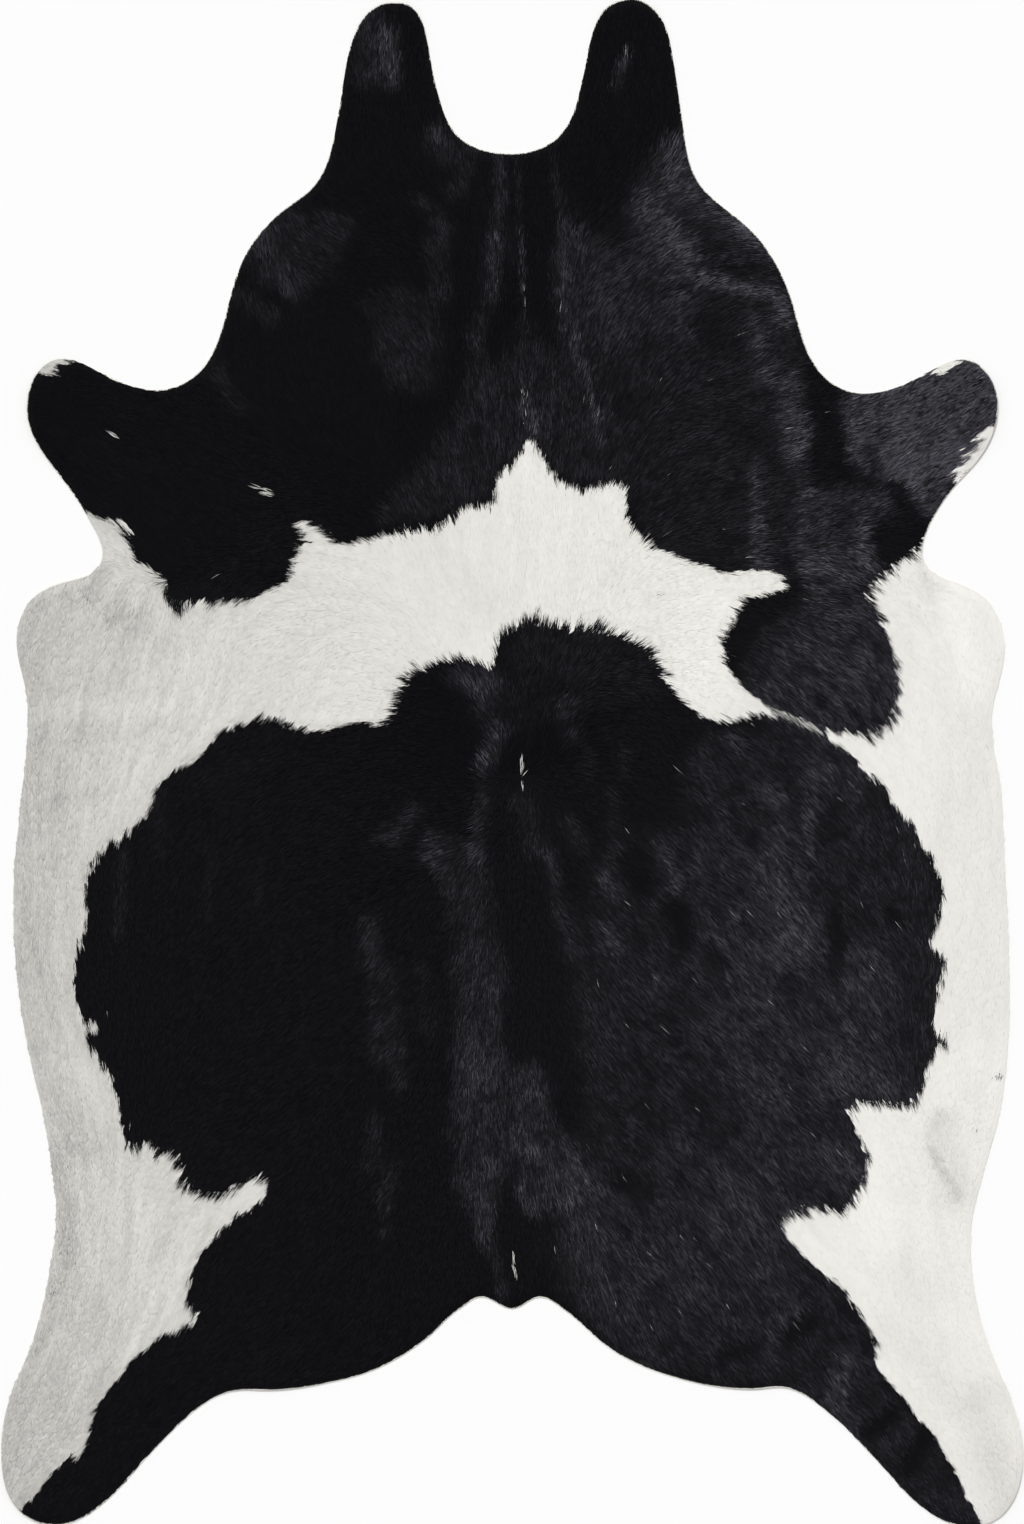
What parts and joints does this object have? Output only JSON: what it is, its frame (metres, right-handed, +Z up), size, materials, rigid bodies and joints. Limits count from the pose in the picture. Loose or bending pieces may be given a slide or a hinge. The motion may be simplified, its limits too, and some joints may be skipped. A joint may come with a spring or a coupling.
{
  "type": "cowhide rug",
  "caption": "Flat hair-on cowhide rug, black and white, cut round its ear lobes, legs, flanks and tail stub, lying on the floor in soft rolls.",
  "frame": {"origin": "on the floor, under the middle of the box round the hide's outline", "axes": "+Y from tail to head, +X to the right seen from above with the head end up, +Z up, out of the hair side"},
  "size_m": [1.47, 2.198, 0.0128],
  "materials": {
    "hide": "short glossy hair that lies from head to tail, black with white belly, band and legs, on suede-like tanned skin"
  },
  "bodies": {
    "root": {"hide": "hide"}
  },
  "joints": []
}
